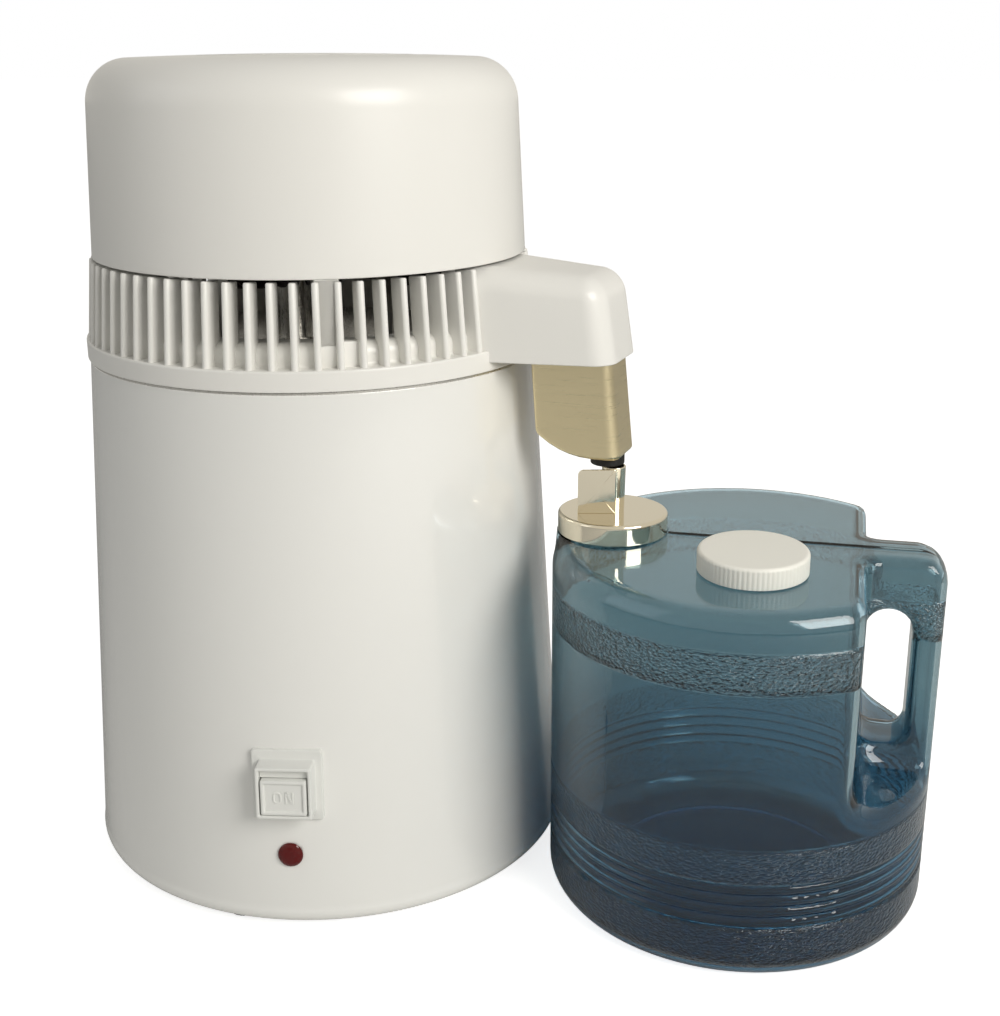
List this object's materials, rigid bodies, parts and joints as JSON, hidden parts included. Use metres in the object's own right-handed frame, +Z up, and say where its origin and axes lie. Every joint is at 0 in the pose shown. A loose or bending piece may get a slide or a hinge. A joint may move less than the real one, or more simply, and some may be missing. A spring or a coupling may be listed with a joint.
{
  "type": "countertop water distiller",
  "caption": "Countertop water distiller: tapered heated housing, lift-off louvred condenser head with a spout arm, and a clear blue collecting jug with handle, drip lid and screw cap.",
  "frame": {"origin": "on the boiler's vertical axis, at the table", "axes": "+Z up, +X along the spout arm towards the jug, +Y to the rear left, away from the control panel"},
  "size_m": [0.4044, 0.2371, 0.3703],
  "materials": {
    "housing": "smooth white enamel coat",
    "base_plate": "zinc plated",
    "rubber_feet": "black, matt",
    "foot_screws": "zinc plated",
    "foot_nuts": "zinc plated",
    "boiling_chamber": "stainless, satin",
    "chamber_rim": "stainless, satin",
    "heat_spreader": "plain",
    "heating_element": "dark oxide",
    "element_clamp": "zinc plated",
    "tie_rod": "zinc plated",
    "tie_nuts": "zinc plated",
    "thermostats": "black, moulded",
    "heat_shield": "plain",
    "shield_pillars": "zinc plated",
    "switch_bezel": "moulded white plastic, gloss",
    "switch_body": "black, moulded",
    "push_key": "moulded white plastic, gloss",
    "lamp_lens": "clear red lens",
    "lamp_holder": "moulded off-white plastic, semi-gloss",
    "lamp_nut": "zinc plated",
    "mains_inlet": "black, moulded",
    "inlet_pins": "plain",
    "inlet_screws": "zinc plated",
    "fan_socket": "black, moulded",
    "steam_plate": "stainless, satin",
    "head_gasket": "pale silicone",
    "deck_screws": "zinc plated",
    "louvre_ring": "moulded off-white plastic, semi-gloss",
    "dome_cover": "moulded off-white plastic, semi-gloss",
    "dome_screws": "zinc plated",
    "steam_riser": "stainless, satin",
    "condenser_coil": "dark oxide",
    "condenser_fins": "dark brown coat",
    "coil_brackets": "zinc plated",
    "outlet_tube": "stainless, satin",
    "tube_union": "plain",
    "filter_cup": "white, moulded",
    "drip_seal": "black, matt",
    "spout_cover": "stainless sheet, fine satin",
    "cover_screws": "zinc plated",
    "fan_frame": "black, moulded",
    "fan_motor": "zinc plated",
    "fan_screws": "zinc plated",
    "fan_inlet": "black, moulded",
    "fan_shaft": "zinc plated",
    "fan_impeller": "black, moulded",
    "jug_body": "clear blue polycarbonate, polished with grained bands",
    "fill_lid": "polished stainless, mirror",
    "lid_collar": "polished stainless, mirror",
    "lid_seal": "pale silicone",
    "cap_liner": "pale silicone",
    "screw_cap": "white, moulded, fine flutes"
  },
  "bodies": {
    "base": {"housing": "housing", "base_plate": "base_plate", "rubber_feet": "rubber_feet", "foot_screws": "foot_screws", "foot_nuts": "foot_nuts", "boiling_chamber": "boiling_chamber", "chamber_rim": "chamber_rim", "heat_spreader": "heat_spreader", "heating_element": "heating_element", "element_clamp": "element_clamp", "tie_rod": "tie_rod", "tie_nuts": "tie_nuts", "thermostats": "thermostats", "heat_shield": "heat_shield", "shield_pillars": "shield_pillars", "switch_bezel": "switch_bezel", "switch_body": "switch_body", "lamp_lens": "lamp_lens", "lamp_holder": "lamp_holder", "lamp_nut": "lamp_nut", "mains_inlet": "mains_inlet", "inlet_pins": "inlet_pins", "inlet_screws": "inlet_screws", "fan_socket": "fan_socket"},
    "head": {"steam_plate": "steam_plate", "head_gasket": "head_gasket", "deck_screws": "deck_screws", "louvre_ring": "louvre_ring", "dome_cover": "dome_cover", "dome_screws": "dome_screws", "steam_riser": "steam_riser", "condenser_coil": "condenser_coil", "condenser_fins": "condenser_fins", "coil_brackets": "coil_brackets", "outlet_tube": "outlet_tube", "tube_union": "tube_union", "filter_cup": "filter_cup", "drip_seal": "drip_seal", "spout_cover": "spout_cover", "cover_screws": "cover_screws", "fan_frame": "fan_frame", "fan_motor": "fan_motor", "fan_screws": "fan_screws", "fan_inlet": "fan_inlet"},
    "fan": {"fan_shaft": "fan_shaft", "fan_impeller": "fan_impeller"},
    "key": {"push_key": "push_key"},
    "jug": {"jug_body": "jug_body"},
    "lid": {"fill_lid": "fill_lid", "lid_collar": "lid_collar", "lid_seal": "lid_seal"},
    "liner": {"cap_liner": "cap_liner"},
    "cap": {"screw_cap": "screw_cap"}
  },
  "joints": [
    {"name": "head_lift", "type": "slide", "parent": "base", "child": "head", "axis": [0, 0, 1], "range_m": [0, 0.1]},
    {"name": "fan_spin", "type": "hinge", "parent": "head", "child": "fan", "pos_m": [0, 0, 0.3434], "axis": [0, 0, 1], "continuous": true},
    {"name": "key_push", "type": "slide", "parent": "base", "child": "key", "axis": [-0.3151, 0.9473, -0.0573], "range_m": [0, 0.003], "stiffness_N_per_m": 500, "springref_m": -0.0008},
    {"name": "jug_slide", "type": "slide", "parent": "base", "child": "jug", "axis": [0.9903, 0.1392, 0], "range_m": [0, 0.2]},
    {"name": "lid_turn", "type": "hinge", "parent": "jug", "child": "lid", "pos_m": [0.1456, 0, 0.1766], "axis": [0, 0, 1], "range_deg": [-150, 150]},
    {"name": "cap_lift", "type": "slide", "parent": "jug", "child": "liner", "axis": [0.0049, -0.0346, 0.9994], "range_m": [0, 0.012]},
    {"name": "cap_turn", "type": "hinge", "parent": "liner", "child": "cap", "pos_m": [0.21432, -0.02771, 0.16651], "axis": [0.0049, -0.0346, 0.9994], "range_deg": [0, 1080]}
  ],
  "couplings": [
    {"joint": "cap_turn", "follows": "cap_lift", "rad_per_m": 1570.8}
  ]
}
